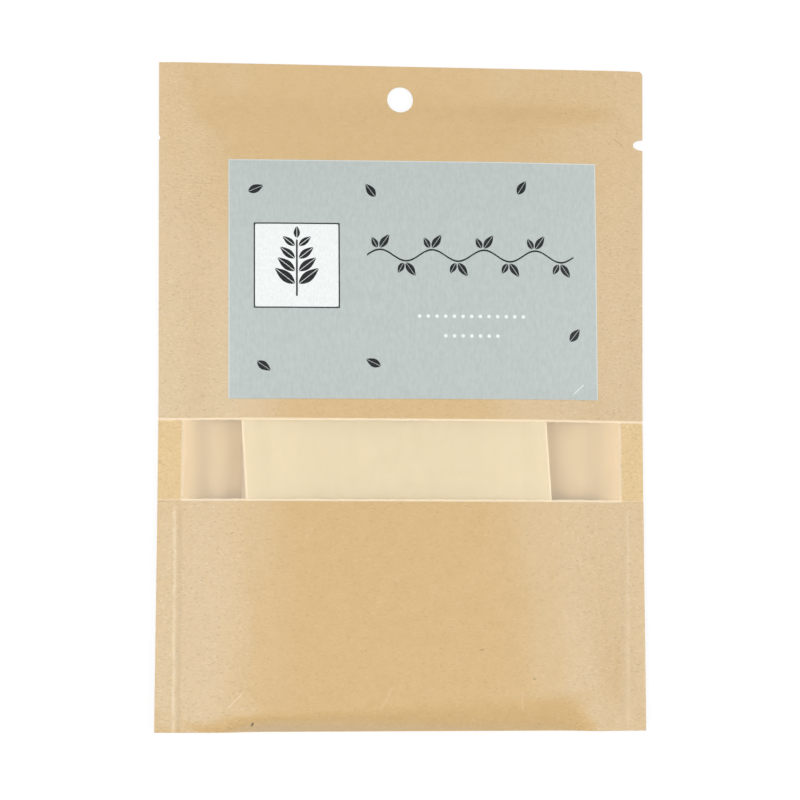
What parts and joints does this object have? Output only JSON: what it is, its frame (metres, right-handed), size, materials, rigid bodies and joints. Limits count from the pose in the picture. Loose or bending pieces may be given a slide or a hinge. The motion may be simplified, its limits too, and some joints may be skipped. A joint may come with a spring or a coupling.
{
  "type": "windowed kraft pouch of paper tea filters",
  "caption": "Flat kraft paper retail pouch with a hang hole, tear notches, a plain label and a clear window strip that shows the stack of paper tea filters inside.",
  "frame": {"origin": "on the surface the pouch lies on, under the middle of its outline", "axes": "+X to the right across the front, +Y up the face towards the hang hole, +Z out of the front"},
  "size_m": [0.1124, 0.153, 0.0082],
  "materials": {
    "kraft": "matte",
    "film": "satin",
    "label": "satin",
    "filter_paper": "matte"
  },
  "bodies": {
    "root": {"pouch_body": "kraft", "upper_front_panel": "kraft", "window_film": "film", "label": "label", "filter_01": "filter_paper", "filter_02": "filter_paper", "filter_03": "filter_paper", "filter_04": "filter_paper", "filter_05": "filter_paper", "filter_06": "filter_paper", "filter_07": "filter_paper", "filter_08": "filter_paper", "filter_09": "filter_paper", "filter_10": "filter_paper", "filter_11": "filter_paper", "filter_12": "filter_paper", "filter_13": "filter_paper", "filter_14": "filter_paper", "filter_15": "filter_paper", "filter_16": "filter_paper", "filter_17": "filter_paper", "filter_18": "filter_paper", "filter_19": "filter_paper", "filter_20": "filter_paper", "filter_21": "filter_paper", "filter_22": "filter_paper", "filter_23": "filter_paper", "filter_24": "filter_paper", "filter_25": "filter_paper"}
  },
  "joints": []
}
